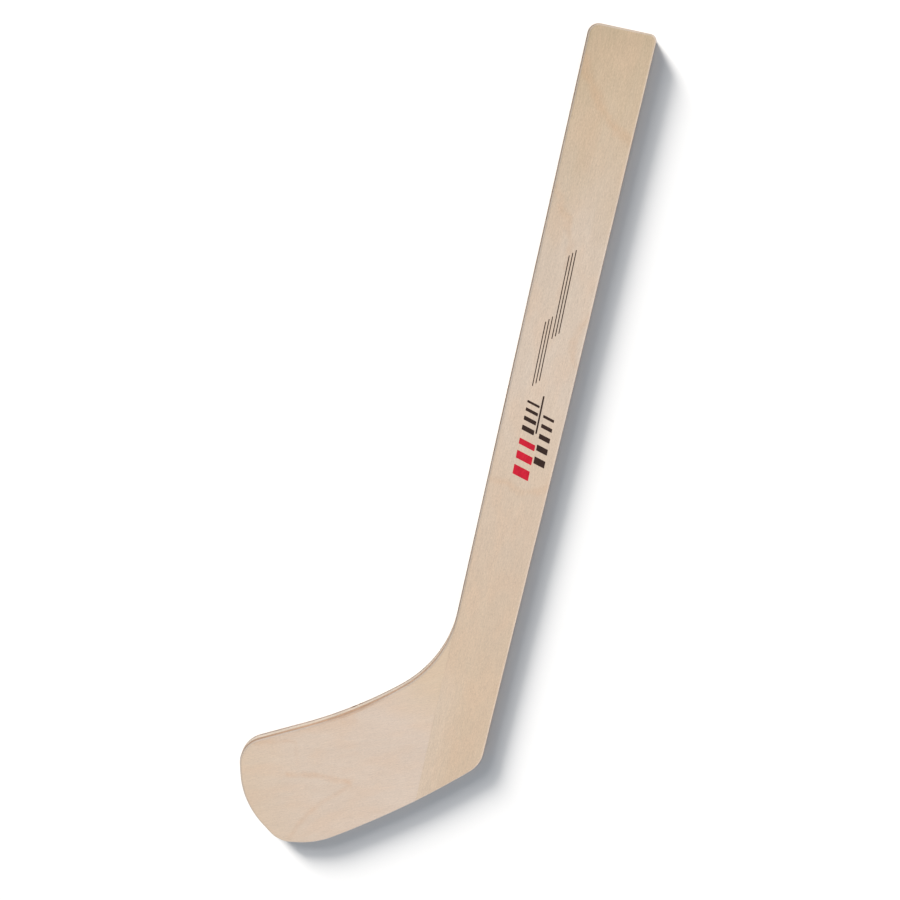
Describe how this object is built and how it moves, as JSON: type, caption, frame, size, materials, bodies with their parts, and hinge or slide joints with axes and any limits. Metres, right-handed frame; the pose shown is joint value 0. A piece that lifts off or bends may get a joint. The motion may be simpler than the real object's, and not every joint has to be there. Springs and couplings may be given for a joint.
{
  "type": "mini wooden hockey stick",
  "caption": "Flat plywood mini hockey stick: straight shaft with an eased edge and a wide flat blade glued to it, for striking a small ball or puck.",
  "frame": {"origin": "middle of the bounding box of the outline, on the back face", "axes": "+Y up the shaft to the butt end, +Z out of the face, blade towards -X"},
  "size_m": [0.1156, 0.4068, 0.0064],
  "materials": {
    "face_veneer": "pale fine-grained veneer, sanded, thin satin lacquer",
    "crossband": "darker cross-grain veneer edge, sanded",
    "core_veneer": "pale veneer edge, sanded",
    "red_ink": "thin printed ink, satin",
    "dark_ink": "thin printed ink, satin"
  },
  "bodies": {
    "root": {"shaft_face_veneer": "face_veneer", "shaft_front_crossband": "crossband", "shaft_core": "core_veneer", "shaft_rear_crossband": "crossband", "shaft_back_veneer": "face_veneer", "blade_face_veneer": "face_veneer", "blade_front_crossband": "crossband", "blade_core": "core_veneer", "blade_rear_crossband": "crossband", "blade_back_veneer": "face_veneer"}
  },
  "joints": []
}
